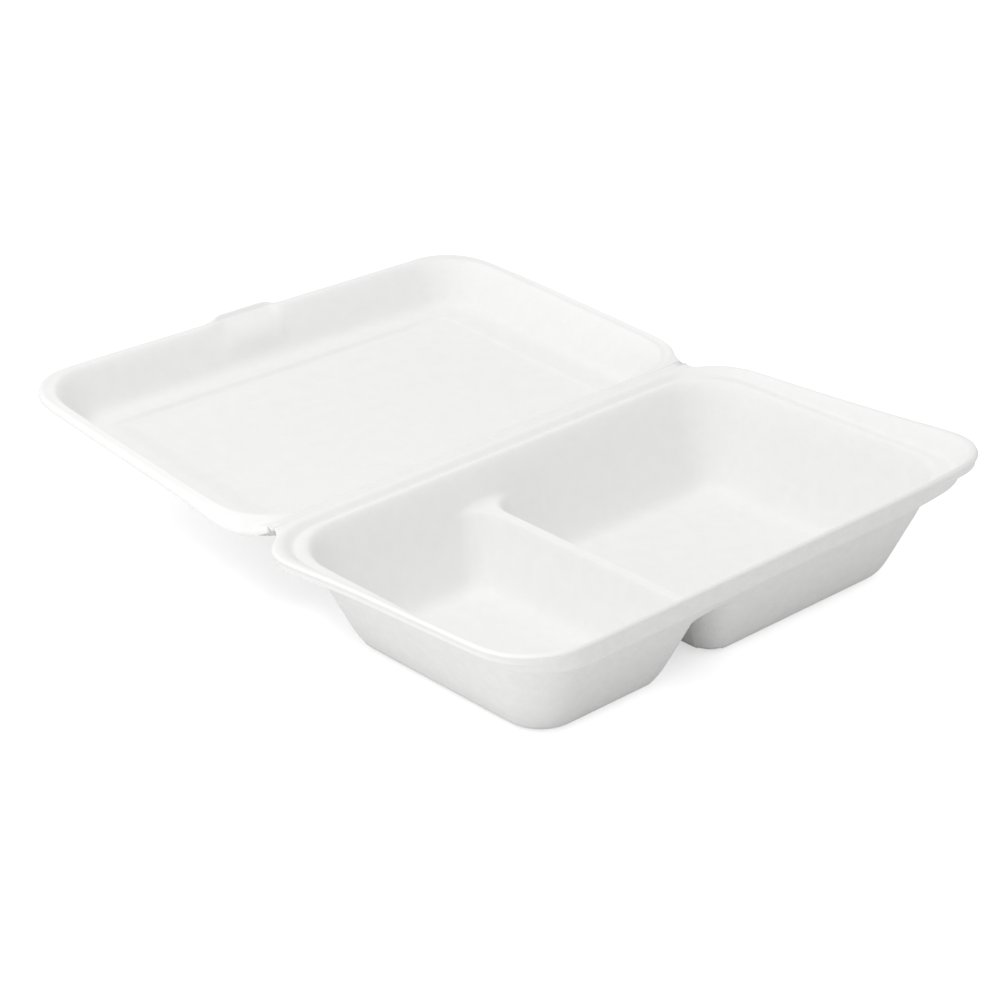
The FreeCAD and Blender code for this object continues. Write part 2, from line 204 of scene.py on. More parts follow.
# Fibre and mottle, used by the smooth inner face and by the rougher outer face
def makePulpGrain():
    group = bpy.data.node_groups.new("pulpGrain", "ShaderNodeTree")
    addSocket(group, "Fibre Scale", "Float", 900.0)
    addSocket(group, "Mottle Scale", "Float", 55.0)
    addSocket(group, "Light", "Color", (0.9, 0.9, 0.9, 1))
    addSocket(group, "Dark", "Color", (0.8, 0.8, 0.8, 1))
    addSocket(group, "Colour", "Color", way="OUTPUT")
    addSocket(group, "Roughness", "Float", way="OUTPUT")
    addSocket(group, "Height", "Float", way="OUTPUT")
    nodes = group.nodes
    entry = nodes.new("NodeGroupInput")
    leave = nodes.new("NodeGroupOutput")
    place = nodes.new("ShaderNodeTexCoord")
    mottle = nodes.new("ShaderNodeTexNoise")
    mottle.inputs["Detail"].default_value = 5.0
    mottle.inputs["Roughness"].default_value = 0.62
    fibre = nodes.new("ShaderNodeTexNoise")
    fibre.inputs["Detail"].default_value = 3.0
    fibre.inputs["Roughness"].default_value = 0.6
    fibre.inputs["Distortion"].default_value = 0.6
    strand = nodes.new("ShaderNodeTexVoronoi")
    strand.feature = "SMOOTH_F1"
    strand.inputs["Smoothness"].default_value = 0.7
    strandScale = addMath(group, "MULTIPLY", second=0.45)
    mix = nodes.new("ShaderNodeMix")
    mix.data_type = "RGBA"
    spread = nodes.new("ShaderNodeMapRange")
    spread.inputs["From Min"].default_value = 0.32
    spread.inputs["From Max"].default_value = 0.68
    rough = nodes.new("ShaderNodeMapRange")
    rough.inputs["To Min"].default_value = 0.72
    rough.inputs["To Max"].default_value = 0.92
    total = addMath(group, "MULTIPLY_ADD", second=0.35)
    for texture in (mottle, fibre, strand):
        link(group, place.outputs["Object"], texture.inputs["Vector"])
    link(group, entry.outputs["Mottle Scale"], mottle.inputs["Scale"])
    link(group, entry.outputs["Fibre Scale"], fibre.inputs["Scale"])
    link(group, entry.outputs["Fibre Scale"], strandScale.inputs[0])
    link(group, strandScale.outputs[0], strand.inputs["Scale"])
    link(group, mottle.outputs["Fac"], spread.inputs["Value"])
    link(group, spread.outputs["Result"], mix.inputs["Factor"])
    link(group, entry.outputs["Dark"], mix.inputs["A"])
    link(group, entry.outputs["Light"], mix.inputs["B"])
    link(group, fibre.outputs["Fac"], rough.inputs["Value"])
    link(group, strand.outputs["Distance"], total.inputs[0])
    link(group, fibre.outputs["Fac"], total.inputs[2])
    link(group, mix.outputs["Result"], leave.inputs["Colour"])
    link(group, rough.outputs["Result"], leave.inputs["Roughness"])
    link(group, total.outputs[0], leave.inputs["Height"])
    return group


pulpGrain = makePulpGrain()

# colours, scales of the two textures, and how strong and deep the relief is (depth in metres)
finishes = {
    "smoothPulp": {"light": (0.885, 0.885, 0.88, 1), "dark": (0.865, 0.865, 0.86, 1),
                   "fibre": 1300.0, "mottle": 160.0, "relief": 0.15, "depth": 0.0003},
    "feltPulp": {"light": (0.87, 0.87, 0.865, 1), "dark": (0.835, 0.835, 0.83, 1),
                 "fibre": 800.0, "mottle": 220.0, "relief": 0.45, "depth": 0.0006},
}


def makePulp(name, finish):
    material = bpy.data.materials.new(name)
    material.use_nodes = True
    tree = material.node_tree
    shader = tree.nodes["Principled BSDF"]
    grain = tree.nodes.new("ShaderNodeGroup")
    grain.node_tree = pulpGrain
    grain.inputs["Fibre Scale"].default_value = finish["fibre"]
    grain.inputs["Mottle Scale"].default_value = finish["mottle"]
    grain.inputs["Light"].default_value = finish["light"]
    grain.inputs["Dark"].default_value = finish["dark"]
    bump = tree.nodes.new("ShaderNodeBump")
    bump.inputs["Strength"].default_value = finish["relief"]
    bump.inputs["Distance"].default_value = finish["depth"]
    shader.inputs["Specular IOR Level"].default_value = 0.25
    link(tree, grain.outputs["Colour"], shader.inputs["Base Color"])
    link(tree, grain.outputs["Roughness"], shader.inputs["Roughness"])
    link(tree, grain.outputs["Height"], bump.inputs["Height"])
    link(tree, bump.outputs["Normal"], shader.inputs["Normal"])
    return material


smoothPulp = makePulp("smoothPulp", finishes["smoothPulp"])
feltPulp = makePulp("feltPulp", finishes["feltPulp"])
print("pulp finishes made")


# Ends a tree that makes shape: real geometry, painted with its Pulp input
def finishTree(tree, entry, shape):
    whole = tree.nodes.new("GeometryNodeRealizeInstances")
    paint = tree.nodes.new("GeometryNodeSetMaterial")
    leave = tree.nodes.new("NodeGroupOutput")
    link(tree, shape, whole.inputs["Geometry"])
    link(tree, whole.outputs["Geometry"], paint.inputs["Geometry"])
    link(tree, entry.outputs["Pulp"], paint.inputs["Material"])
    link(tree, paint.outputs["Geometry"], leave.inputs["Geometry"])


def makeShapeTree(name, floats):
    tree = bpy.data.node_groups.new(name, "GeometryNodeTree")
    addSocket(tree, "Geometry", "Geometry")
    for label, value in floats:
        addSocket(tree, label, "Float", value)
    addSocket(tree, "Pulp", "Material")
    addSocket(tree, "Geometry", "Geometry", way="OUTPUT")
    return tree


# Rim edge: the turned-down band that follows the rim's outer line
def makeRimBandTree():
    tree = makeShapeTree("rimBand", (("Drop", 0.0036), ("Flare", 0.0005), ("Weld", 0.00002)))
    addSocket(tree, "Steps", "Int", bandSteps)
    nodes = tree.nodes
    entry = nodes.new("NodeGroupInput")

    # rim line: open edges, with one face, whose two ends are both marked
    neighbours = nodes.new("GeometryNodeInputMeshEdgeNeighbors")
    isOpen = nodes.new("FunctionNodeCompare")
    isOpen.data_type = "INT"
    isOpen.operation = "EQUAL"
    isOpen.inputs[3].default_value = 1
    mark = nodes.new("GeometryNodeInputNamedAttribute")
    mark.data_type = "FLOAT"
    mark.inputs["Name"].default_value = "rimEdge"
    isRim = nodes.new("FunctionNodeCompare")
    isRim.data_type = "FLOAT"
    isRim.operation = "GREATER_THAN"
    isRim.inputs[1].default_value = 0.9
    both = nodes.new("FunctionNodeBooleanMath")
    path = nodes.new("GeometryNodeMeshToCurve")
    upright = nodes.new("GeometryNodeSetCurveNormal")
    upright.mode = "Z_UP"
    link(tree, neighbours.outputs["Face Count"], isOpen.inputs[2])
    link(tree, mark.outputs["Attribute"], isRim.inputs[0])
    link(tree, isOpen.outputs[0], both.inputs[0])
    link(tree, isRim.outputs[0], both.inputs[1])
    link(tree, entry.outputs["Geometry"], path.inputs["Mesh"])
    link(tree, both.outputs[0], path.inputs["Selection"])
    link(tree, path.outputs["Curve"], upright.inputs["Curve"])

    # profile: starts on the rim line, rounds outward by a steep curve and then runs straight down
    line = nodes.new("GeometryNodeCurvePrimitiveLine")
    sample = nodes.new("GeometryNodeResampleCurve")
    along = nodes.new("GeometryNodeSplineParameter")
    down = addMath(tree, "MULTIPLY")
    rest = addMath(tree, "SUBTRACT", first=1.0)
    steep = addMath(tree, "POWER", second=4.0)
    out = addMath(tree, "SUBTRACT", first=1.0)
    reach = addMath(tree, "MULTIPLY")
    spot = nodes.new("ShaderNodeCombineXYZ")
    shape = nodes.new("GeometryNodeSetPosition")
    link(tree, entry.outputs["Steps"], sample.inputs["Count"])
    link(tree, line.outputs["Curve"], sample.inputs["Curve"])
    link(tree, sample.outputs["Curve"], shape.inputs["Geometry"])
    link(tree, along.outputs["Factor"], down.inputs[0])
    link(tree, entry.outputs["Drop"], down.inputs[1])
    link(tree, along.outputs["Factor"], rest.inputs[1])
    link(tree, rest.outputs[0], steep.inputs[0])
    link(tree, steep.outputs[0], out.inputs[1])
    link(tree, out.outputs[0], reach.inputs[0])
    link(tree, entry.outputs["Flare"], reach.inputs[1])
    link(tree, reach.outputs[0], spot.inputs["X"])
    link(tree, down.outputs[0], spot.inputs["Y"])
    link(tree, spot.outputs[0], shape.inputs["Position"])

    sweep = nodes.new("GeometryNodeCurveToMesh")
    join = nodes.new("GeometryNodeJoinGeometry")
    weld = nodes.new("GeometryNodeMergeByDistance")
    link(tree, upright.outputs["Curve"], sweep.inputs["Curve"])
    link(tree, shape.outputs["Geometry"], sweep.inputs["Profile Curve"])
    link(tree, sweep.outputs["Mesh"], join.inputs["Geometry"])
    link(tree, entry.outputs["Geometry"], join.inputs["Geometry"])
    link(tree, join.outputs["Geometry"], weld.inputs["Geometry"])
    link(tree, entry.outputs["Weld"], weld.inputs["Distance"])
    finishTree(tree, entry, weld.outputs["Geometry"])
    return tree


# Slight unevenness of the moulded sheet, none on the floor it stands on and none at the fold
def makeWaverTree():
    tree = makeShapeTree("mouldWaver", (("Amount", 0.0003), ("Size", 24.0), ("Seed", 3.0),
                                        ("Fold Y", 0.0776), ("Floor Z", 0.003)))
    nodes = tree.nodes
    entry = nodes.new("NodeGroupInput")
    spot = nodes.new("GeometryNodeInputPosition")
    noise = nodes.new("ShaderNodeTexNoise")
    noise.noise_dimensions = "4D"
    noise.inputs["Detail"].default_value = 1.0
    middle = addMath(tree, "SUBTRACT", second=0.5)
    parts = nodes.new("ShaderNodeSeparateXYZ")
    fromFold = addMath(tree, "SUBTRACT")
    size = addMath(tree, "ABSOLUTE")
    foldFade = nodes.new("ShaderNodeMapRange")
    foldFade.interpolation_type = "SMOOTHSTEP"
    foldFade.inputs["From Min"].default_value = 0.008
    foldFade.inputs["From Max"].default_value = 0.03
    above = addMath(tree, "SUBTRACT")
    floorFade = nodes.new("ShaderNodeMapRange")
    floorFade.interpolation_type = "SMOOTHSTEP"
    floorFade.inputs["From Max"].default_value = 0.02
    amount = addMath(tree, "MULTIPLY")
    offTheFold = addMath(tree, "MULTIPLY")
    offTheFloor = addMath(tree, "MULTIPLY")
    normal = nodes.new("GeometryNodeInputNormal")
    push = nodes.new("ShaderNodeVectorMath")
    push.operation = "SCALE"
    move = nodes.new("GeometryNodeSetPosition")
    link(tree, spot.outputs[0], noise.inputs["Vector"])
    link(tree, entry.outputs["Seed"], noise.inputs["W"])
    link(tree, entry.outputs["Size"], noise.inputs["Scale"])
    link(tree, noise.outputs["Fac"], middle.inputs[0])
    link(tree, spot.outputs[0], parts.inputs[0])
    link(tree, parts.outputs["Y"], fromFold.inputs[0])
    link(tree, entry.outputs["Fold Y"], fromFold.inputs[1])
    link(tree, fromFold.outputs[0], size.inputs[0])
    link(tree, size.outputs[0], foldFade.inputs["Value"])
    link(tree, parts.outputs["Z"], above.inputs[0])
    link(tree, entry.outputs["Floor Z"], above.inputs[1])
    link(tree, above.outputs[0], floorFade.inputs["Value"])
    link(tree, middle.outputs[0], amount.inputs[0])
    link(tree, entry.outputs["Amount"], amount.inputs[1])
    link(tree, amount.outputs[0], offTheFold.inputs[0])
    link(tree, foldFade.outputs["Result"], offTheFold.inputs[1])
    link(tree, offTheFold.outputs[0], offTheFloor.inputs[0])
    link(tree, floorFade.outputs["Result"], offTheFloor.inputs[1])
    link(tree, normal.outputs[0], push.inputs[0])
    link(tree, offTheFloor.outputs[0], push.inputs["Scale"])
    link(tree, entry.outputs["Geometry"], move.inputs["Geometry"])
    link(tree, push.outputs[0], move.inputs["Offset"])
    finishTree(tree, entry, move.outputs["Geometry"])
    return tree


rimBand = makeRimBandTree()
mouldWaver = makeWaverTree()


def addNodes(piece, tree, values):
    modifier = piece.modifiers.new(tree.name, "NODES")
    modifier.node_group = tree
    for item in tree.interface.items_tree:
        if item.item_type == "SOCKET" and item.in_out == "INPUT" and item.name in values:
            modifier[item.identifier] = values[item.name]


# A plain copy of a piece with its modifiers worked in
def worked(piece, name):
    seen = piece.evaluated_get(bpy.context.evaluated_depsgraph_get())
    mesh = bpy.data.meshes.new_from_object(seen)
    mesh.name = name
    solid = addObject(name, mesh)
    bpy.data.objects.remove(piece)
    return solid


# Faces all one way round, with those of the floor upward
def faceUp(mesh):
    bm = bmesh.new()
    bm.from_mesh(mesh)
    bmesh.ops.recalc_face_normals(bm, faces=bm.faces)
    lowest = min(bm.faces, key=lambda f: f.calc_center_median().z)
    if lowest.normal.z < 0:
        bmesh.ops.reverse_faces(bm, faces=bm.faces)
    bm.to_mesh(mesh)
    bm.free()


def addThickness(piece):
    thick = piece.modifiers.new("thickness", "SOLIDIFY")
    thick.thickness = fold["sheet"] / mm
    thick.offset = -1
    return thick


# Band first, then subdivision, unevenness and thickness; place moves it from its own frame
def finishShell(cage, name, sizes, waver, place):
    addNodes(cage, rimBand, {"Drop": sizes["drop"] / mm, "Flare": sizes["flare"] / mm,
                             "Steps": bandSteps, "Pulp": smoothPulp})
    shell = worked(cage, name + "Shell")
    faceUp(shell.data)
    shell.data.materials.clear()
    shell.data.materials.append(smoothPulp)
    shell.data.materials.append(feltPulp)
    shell.data.polygons.foreach_set("material_index", [0] * len(shell.data.polygons))
    soften = shell.modifiers.new("soften", "SUBSURF")
    soften.levels = 2
    soften.render_levels = 2
    addNodes(shell, mouldWaver, {**waver, "Amount": 0.0005, "Pulp": smoothPulp})
    thick = addThickness(shell)
    thick.use_even_offset = True
    thick.thickness_clamp = 0.5
    thick.use_quality_normals = True
    thick.material_offset = 1
    piece = worked(shell, name)
    mesh = piece.data
    for vertex in mesh.vertices:
        vertex.co = place(vertex.co)
    for polygon in mesh.polygons:
        polygon.use_smooth = True
    for spare in [a.name for a in mesh.attributes if a.name in ("rimEdge", "crease_vert")]:
        mesh.attributes.remove(mesh.attributes[spare])
    print(name, "faces", len(mesh.polygons), "materials", [m.name for m in mesh.materials])
    return piece


# Tray: rim, ledge, walls, two tubs and the divider between them

tray = {
    "halfX": 124.0, "halfY": 77.6,
    "rimBack": 43.1, "rimSlope": 0.04646,      # rim's top at the fold, and its rise toward the front
    "ledge": 41.3,                             # ledge's height
    "wallFoot": 28.0, "wallLean": 0.436,       # outer wall's inset at the floor, and what it loses per mm
    "levelSheet": 1.34,                        # the leaning sheet, measured level
    "crest": 28.0, "saddle": 2.0,              # divider's top, and its rise where it meets the walls
    "smallRight": -20.7, "largeLeft": -16.8,   # edges of the divider's top
    "dividerLean": 0.42, "largeLean": 0.85,    # its sides' lean, and the large tub's share of it
    "tubRadius": 19.5,                         # tubs' corners at the crest
    "footFront": 14.0, "footBack": 8.0,        # and at the floor
    "innerTop": 13.0, "innerFoot": 7.0,        # the same beside the divider
    "leastRadius": 2.5,                        # no corner is tighter than this
    "leftFoot": 1.5, "frontFoot": -1.2,        # extra lean of the left end's wall and of the front's
    "cornerLeft": 2.2,                         # how far the rim's back left corner stands out
    "cornerOut": 4.6, "cornerUp": 2.7,         # flare of the rim's front right corner
    "floor": 1.2,                              # floor's upper face
    "drop": 3.2, "flare": 1.2,                 # turned-down edge: its depth and how far it rounds outward
}
# heights down the tubs, and how much further in than the wall
tubSteps = [(26.3, 0.0), (22.5, 0.0), (14.0, 0.0), (8.0, 0.0), (4.6, 0.25), (2.4, 1.1),
            (1.4, 2.6), (tray["floor"], 4.6), (tray["floor"], 7.0), (tray["floor"], 10.0)]
crestBead = (0.25, 0.35, 0.35, 0.7, 0.75)      # low bead across the divider's top, left to right
crestSteps = len(crestBead) + 1


def rimHeight(y):
    return tray["rimBack"] + (tray["halfY"] - y) * tray["rimSlope"]


def wallInset(z):
    return tray["wallFoot"] - tray["wallLean"] * z + tray["levelSheet"]


# Stations along the straight sides; those of the hall match the two tubs and the divider between
smallStops = [1 / 4, 2 / 4, 3 / 4]
largeStops = [i / 6 for i in range(1, 6)]
sideStops = [i / 6 for i in range(1, 6)]
crestArc = tray["halfX"] - wallInset(tray["crest"]) - tray["tubRadius"]
smallSplit = (tray["smallRight"] - tray["innerTop"] + crestArc) / (2 * crestArc)
largeSplit = (tray["largeLeft"] + tray["innerTop"] + crestArc) / (2 * crestArc)
hallStops = ([u * smallSplit for u in smallStops] + [smallSplit]
             + [smallSplit + (largeSplit - smallSplit) * i / crestSteps for i in range(1, crestSteps)]
             + [largeSplit] + [largeSplit + (1 - largeSplit) * u for u in largeStops])


def trayLoop(side, front, back, radius, height, turns=evenTurns):
    hx, hy = tray["halfX"], tray["halfY"]
    return roundedLoop(-hx + side, hx - side, -hy + front, hy - back, radius,
                       hallStops, sideStops, turns, height)


# 1 along the tray's back, where the ledge is a groove with a bead, 0 elsewhere
def byFold(y):
    return ease(y, 46, 66)


# 0 beside the fold, 1 elsewhere on the rim
def offFold(x, y):
    return 1 - ease(y, 60, 74) * (1 - ease(abs(x), 98, 108))


# The rim's straight edge along the fold: stations near it are drawn onto the fold's strip,
# and the outermost of them onto the strip's ends
def openAtFold(loop, edge, reach, height):
    nearby = 12   # across the fold; wide enough for the rounded corners' last stations
    near = [p for p in loop if abs(p.x) < reach and abs(p.y - edge) < nearby]
    outer = max(abs(p.x) for p in near)
    for p in near:
        if abs(abs(p.x) - outer) < same:
            p.x = math.copysign(fold["endX"], p.x)
        p.y, p.z = edge, height


# Flare of the front right corner: grows rightward from x 66 to 118, and forward from y 50 over 127 mm
def frontFlare(p):
    return ease(p.x, 66, 118) * (max(0.0, 50 - p.y) / 127) ** 2


# The back left corner's stand-out, in its last millimetres to the left and toward the fold
def backStand(p):
    return ease(-p.x, 111, 123) * ease(p.y, 15, 58)


def buildTray():
    faces = []
    low = tray["ledge"]
    crest = tray["crest"]
    edgeY = fold["y"] - fold["halfWeb"]

    # rim, step and ledge: insets at the side, front and back, corner radius, height
    loops = [
        trayLoop(1.0, 1.5, 1.2, 27.0, lambda x, y: rimHeight(y) - 1.2, cornerTurns),
        trayLoop(1.4, 2.0, 2.0, 26.8, lambda x, y: rimHeight(y) - 0.45 * offFold(x, y), cornerTurns),
        trayLoop(1.9, 2.6, 3.0, 26.6, lambda x, y: rimHeight(y), cornerTurns),
        trayLoop(3.0, 2.75, 4.2, 26.2, lambda x, y: rimHeight(y) - 0.05, cornerTurns),
        trayLoop(3.9, 2.9, 5.1, 25.7, lambda x, y: rimHeight(y) - 0.75, cornerTurns),
        trayLoop(5.8, 3.1, 6.2, 24.6,
                 lambda x, y: low - 0.2 + min(1.2, 0.45 * (rimHeight(y) - low)) - 0.7 * byFold(y)),
        trayLoop(6.6, 4.0, 7.2, 24.4, lambda x, y: low - 0.2 - 0.5 * byFold(y)),
        trayLoop(8.6, 6.6, 8.7, 24.4, lambda x, y: low - 0.05 + 0.65 * byFold(y)),
        trayLoop(10.7, 10.4, 9.9, 24.6, lambda x, y: low + 0.15 + 0.65 * byFold(y)),
    ]

    # wall of the hall above the divider: height, corner radius, a little less inset at the back
    for height, radius, back in ((40.4, 24.8, 0.5), (38.0, 24.0, 0.2), (33.5, 22.0, 0.0)):
        inset = wallInset(height)
        loops.append(trayLoop(inset, inset, inset - back, radius, height))
    openAtFold(loops[0], edgeY, fold["endX"] + 0.6, rimHeight(edgeY))

    # front right corner stands higher, and its rim further out, with a wider lip;
    # shares of each loop in the way out and the way up
    shares = ((1.0, 0.5), (1.0, 0.65), (1.0, 0.9), (0.5, 1.0), (0.2, 0.95), (-0.3, 1.0),
              (-0.4, 1.1), (-0.35, 1.1), (-0.2, 1.0), (-0.1, 0.9), (0.0, 0.5), (0.0, 0.15))
    for loop, (out, up) in zip(loops, shares):
        for p in loop:
            lift = frontFlare(p)
            p.x += tray["cornerOut"] * out * lift
            p.y -= 0.4 * tray["cornerOut"] * out * lift * lift
            p.z += tray["cornerUp"] * up * lift
            p.x -= tray["cornerLeft"] * max(0.0, out) * backStand(p)

    # lowest loop of the hall; over the divider it rises into a saddle
    inset = wallInset(crest)
    mouth = trayLoop(inset, inset, inset, tray["tubRadius"], crest)
    x0, x1 = -crestArc + 2 * crestArc * smallSplit, -crestArc + 2 * crestArc * largeSplit
    edge = tray["halfY"] - inset
    for p in mouth:
        if x0 < p.x < x1 and abs(abs(p.y) - edge) < same:
            lift = tray["saddle"] * math.sin(math.pi * (p.x - x0) / (x1 - x0))
            p.z += lift
            p.y += math.copysign(lift * tray["wallLean"], p.y)
    loops.append(mouth)
    for outer, inner in zip(loops, loops[1:]):
        addBand(faces, outer, inner)

    # one level of a tub: small on the left of the divider, or large on its right
    def tubLoop(small, z, inset=0.0):
        side = wallInset(z) + inset
        hx, hy = tray["halfX"], tray["halfY"]
        lean = tray["dividerLean"] * (crest - z)
        up = z / crest
        front, rear, tight = [
            max(tray["leastRadius"], foot + (top - foot) * up - 0.6 * inset)
            for foot, top in ((tray["footFront"], tray["tubRadius"]),
                              (tray["footBack"], tray["tubRadius"]),
                              (tray["innerFoot"], tray["innerTop"]))
        ]
        if small:
            left, stops = -hx + side + tray["leftFoot"] * (1 - up), smallStops
            right = tray["smallRight"] - lean - inset
            radii = (tight, tight, rear, front)
        else:
            left, stops = tray["largeLeft"] + tray["largeLean"] * lean + inset, largeStops
            right = hx - side
            radii = (front, rear, tight, tight)
        near = -hy + side + tray["frontFoot"] * (1 - up)
        return roundedLoop(left, right, near, hy - side, radii, stops, sideStops, evenTurns, z)

    # places of a tub's loop along the divider, from the front to the back
    def dividerSide(loop, small):
        rows = 2 * (arcSteps + 1) + len(sideStops)
        if small:
            return list(range(len(smallStops), len(smallStops) + rows))
        return [len(loop) - 1 - i for i in range(rows)]

    tops = []
    for small in (True, False):
        top = tubLoop(small, crest)
        rows = dividerSide(top, small)
        last = len(rows) - 1
        for k, index in enumerate(rows):
            fromEnd = min(k, last - k)
            top[index].z -= 0.5 * min(1.0, fromEnd / 3)
        chain = [top] + [tubLoop(small, z, inset) for z, inset in tubSteps]
        for outer, inner in zip(chain, chain[1:]):
            addBand(faces, outer, inner)
        addFloor(faces, chain[-1], len(smallStops if small else largeStops) + 1, len(sideStops) + 1)
        tops.append([top[i] for i in rows])

    # divider's top between the two tubs, with a low bead along its right edge
    left, right = tops
    last = len(left) - 1
    grid = []
    for k, (a, b) in enumerate(zip(left, right)):
        fromEnd = min(k, last - k)
        row = [a]
        for i, bead in enumerate(crestBead, start=1):
            t = i / crestSteps
            p = a.lerp(b, t)
            lift = tray["saddle"] * math.sin(math.pi * t)
            if fromEnd == 0:
                p.z = crest + lift
                p.y += math.copysign(lift * tray["wallLean"], p.y)
            else:
                fade = max(0.0, 1 - fromEnd / 6) ** 2
                p.z += fade * lift + bead * min(1.0, fromEnd / 4)
            row.append(p)
        row.append(b)
        grid.append(row)
    for k in range(last):
        for i in range(crestSteps):
            faces.append((grid[k][i], grid[k][i + 1], grid[k + 1][i + 1], grid[k + 1][i]))
    cage = makeCage("trayCage", faces, loops[0], tray["ledge"] + 0.5, edgeY)
    waver = {"Size": 22.0, "Seed": 3.0, "Fold Y": fold["y"] / mm, "Floor Z": 0.003}
    return finishShell(cage, "traySheet", tray, waver, lambda p: p)


# Lid: drawn flat with its fold on X, then laid open with the slight twist it has

lid = {
    "halfX": 118.5, "width": 150.2,
    "lean": 0.66,                                    # wall's run inward per mm of depth
    "border": -16.6,                                 # flat border round the panel
    "lipSide": 5.0, "lipNear": 3.2, "lipFar": 5.7,   # rim edge to the top of the wall
    "flangeDrop": 0.8, "foldDrop": 2.6,              # left end's flange below the crest, more at the fold
    "flangeRise": 1.4,                               # right end's flange above it
    "panelSide": 30.8, "panelNear": 27.0, "panelFar": 26.0, "panelLeft": 26.0,
    "tiltLeft": 5.2, "tiltRight": 2.6,               # degrees
    "drop": 2.5, "flare": 0.9,
    "tabLeft": -20.5, "tabRight": 13.5, "tabRun": 4.5,
}
# stations along the lid's length, closer at the tab's ends, as shares of its straight part
lidRun = 94.9
lidStops = [(x + lidRun) / (2 * lidRun) for x in
            (-77, -61, -46, -33, -24, -19, -16.7, -14.4, -9, -3, 3, 8.4, 10.7, 13, 18, 28, 43, 60, 77)]


def lidLoop(side, near, far, radius, z, turns=evenTurns, left=None):
    hx = lid["halfX"]
    return roundedLoop(-hx + (left or side), hx - side, near, lid["width"] - far, radius,
                       lidStops, sideStops, turns, z - fold["rise"])


# The same at a depth on the lid's wall, or further in
def lidWall(depth, radius, z, inset=0.0):
    run = lid["lean"] * depth + inset
    return lidLoop(lid["lipSide"] + run, lid["lipNear"] + run, lid["lipFar"] + run, radius, z)


# Tilt of the open lid, greater at the left end than at the right
def layOpen(p):
    share = (p.x * mm + lid["halfX"]) / (2 * lid["halfX"])
    tilt = math.radians(lid["tiltLeft"] + (lid["tiltRight"] - lid["tiltLeft"]) * share)
    y, z = p.y, p.z
    return Vector((p.x, fold["y"] / mm + y * math.cos(tilt) - z * math.sin(tilt),
                   fold["z"] / mm + y * math.sin(tilt) + z * math.cos(tilt)))


def buildLid():
    faces = []
    edge = fold["halfWeb"]

    # rim: outer flange, a fine groove, and the crest at the top of the wall; insets at the side, near
    # and far edges, corner radius, height and share in the flange's rise and drop
    rimLoops = [
        (1.0, 0.5, 0.9, 22.9, -0.6, 1.0), (1.35, 1.6, 1.5, 22.8, -0.25, 0.75),
        (1.9, 2.2, 2.5, 22.9, -0.15, 0.5), (2.7, 2.6, 3.3, 23.4, -0.3, 0.28),
        (3.7, 2.95, 4.2, 23.9, -0.05, 0.08), (4.6, 3.3, 5.0, 24.3, 0.0, 0.0),
        (5.4, 3.8, 5.9, 24.3, -0.8, 0.0),
    ]
    loops = []
    for side, near, far, radius, z, share in rimLoops:
        loop = lidLoop(side, near, far, radius, z, cornerTurns)
        for p in loop:
            leftEnd, rightEnd = ease(-p.x, 86, 112), ease(p.x, 86, 112)
            drop = lid["flangeDrop"] * (1 - ease(p.y, 60, 150)) + lid["foldDrop"] * (1 - ease(p.y, 12, 42))
            p.z -= share * (0.2 + drop) * leftEnd * ease(p.y, -4, 9)
            p.z += share * lid["flangeRise"] * rightEnd * (1 - 0.8 * ease(p.y, 90, 135))
        loops.append(loop)
    openAtFold(loops[0], edge, fold["endX"] - 0.6, -fold["rise"])

    # wall: depth, corner radius, height and further inset, the last two on the border
    for depth, radius, z, inset in ((2.4, 24.2, -2.4, 0.0), (8.0, 21.0, -8.0, 0.0),
                                    (12.6, 18.4, -12.6, 0.0), (15.0, 17.0, -15.2, 0.3),
                                    (16.6, 15.6, -16.5, 1.6), (16.6, 14.4, -16.6, 4.0)):
        loops.append(lidWall(depth, radius, z, inset))

    # panel: further inset, corner radius and height; its step fades out at both ends
    side, near, far, left = lid["panelSide"], lid["panelNear"], lid["panelFar"], lid["panelLeft"]
    for step, radius, z in ((-1.6, 7.6, -16.6), (-0.3, 6.8, -16.75), (0.8, 5.8, -17.9),
                            (2.2, 5.0, -18.3), (8.0, 4.0, -18.3)):
        loop = lidLoop(side + step, near + step, far + step, radius, z, evenTurns, left + step)
        for p in loop:
            p.z += (lid["border"] - z) * max(ease(-p.x, 80, 92), 0.6 * ease(p.x, 68, 86))
        loops.append(loop)

    # tab: the flange stands out and up, with a groove and a sloping shelf behind it;
    # each loop's way out and way up
    moves = [(1.3, 1.7), (1.4, 1.6), (1.6, 1.5), (1.9, 0.2), (2.2, -0.6), (2.3, -0.8), (2.1, -0.8),
             (0.6, -0.3), (-0.8, 1.8)]
    for loop, (out, rise) in zip(loops, moves):
        for p in loop:
            if p.y > lid["width"] / 2:
                share = (ease(p.x, lid["tabLeft"], lid["tabLeft"] + lid["tabRun"])
                         * ease(-p.x, -lid["tabRight"], -lid["tabRight"] + lid["tabRun"]))
                p.y += out * share
                p.z += rise * share
    for outer, inner in zip(loops, loops[1:]):
        addBand(faces, outer, inner)
    addFloor(faces, loops[-1], len(lidStops) + 1, len(sideStops) + 1)
    cage = makeCage("lidCage", faces, loops[0], -6, edge)
    waver = {"Size": 20.0, "Seed": 8.0, "Fold Y": 0.0, "Floor Z": -0.1}
    return finishShell(cage, "lidSheet", lid, waver, layOpen)


